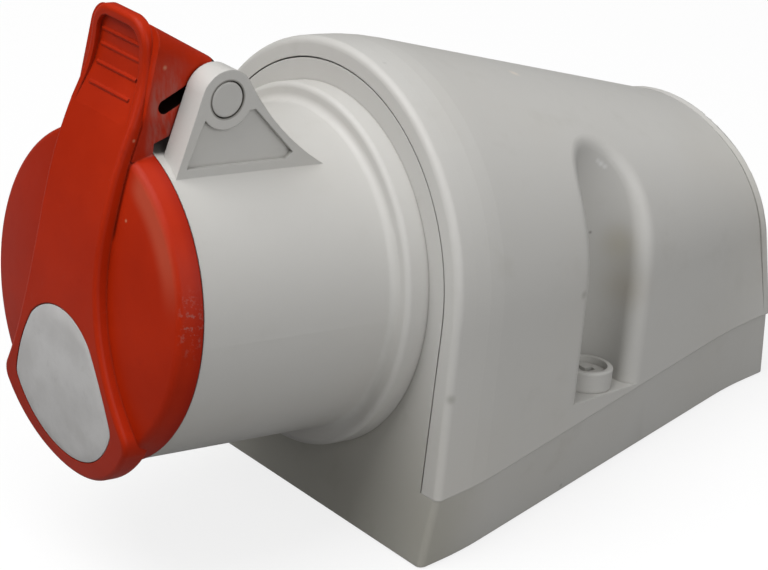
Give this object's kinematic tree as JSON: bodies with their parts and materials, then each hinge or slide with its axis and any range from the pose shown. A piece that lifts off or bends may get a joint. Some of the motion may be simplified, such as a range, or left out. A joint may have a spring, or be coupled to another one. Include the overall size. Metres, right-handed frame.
{
  "type": "industrial wall socket",
  "caption": "Surface-mount industrial power socket with a sprung hinged lid over a leaning plug collar, an arched hood over a wall box, and a rear cable grommet.",
  "frame": {"origin": "centre of the wall-screw pattern, on the wall plane", "axes": "+X across the socket, +Y along the wall from the lid to the cable entry, +Z away from the wall"},
  "size_m": [0.1144, 0.1961, 0.1382],
  "materials": {
    "housing_plastic": "moulded light grey, fine grain",
    "lid_plastic": "moulded red, slight sheen",
    "black_rubber": "matt black",
    "steel": "zinc plated",
    "contact_brass": "turned",
    "carrier_plastic": "moulded black"
  },
  "bodies": {
    "housing": {"back_box": "housing_plastic", "hood": "housing_plastic", "socket_collar": "housing_plastic", "pin_cap_right": "housing_plastic", "pin_cap_left": "housing_plastic", "hood_screw_right": "housing_plastic", "hood_screw_left": "housing_plastic", "flange_gasket": "black_rubber", "cable_grommet": "black_rubber", "hinge_pin": "steel", "lid_spring": "steel", "flange_screws": "steel", "carrier_screws": "steel", "terminal_screws": "steel", "contact_earth": "contact_brass", "contact_line_1": "contact_brass", "contact_line_2": "contact_brass", "contact_line_3": "contact_brass", "contact_neutral": "contact_brass", "screw_inserts": "contact_brass", "contact_carrier": "carrier_plastic", "carrier_back": "carrier_plastic"},
    "lid": {"lid": "lid_plastic", "lid_gasket": "black_rubber"}
  },
  "joints": [
    {"name": "lid_hinge", "type": "hinge", "parent": "housing", "child": "lid", "pos_m": [0, -0.08816, 0.11901], "axis": [-1, 0, 0], "range_deg": [0, 110], "stiffness_Nm_per_rad": 0.12, "springref_deg": -60.16}
  ]
}
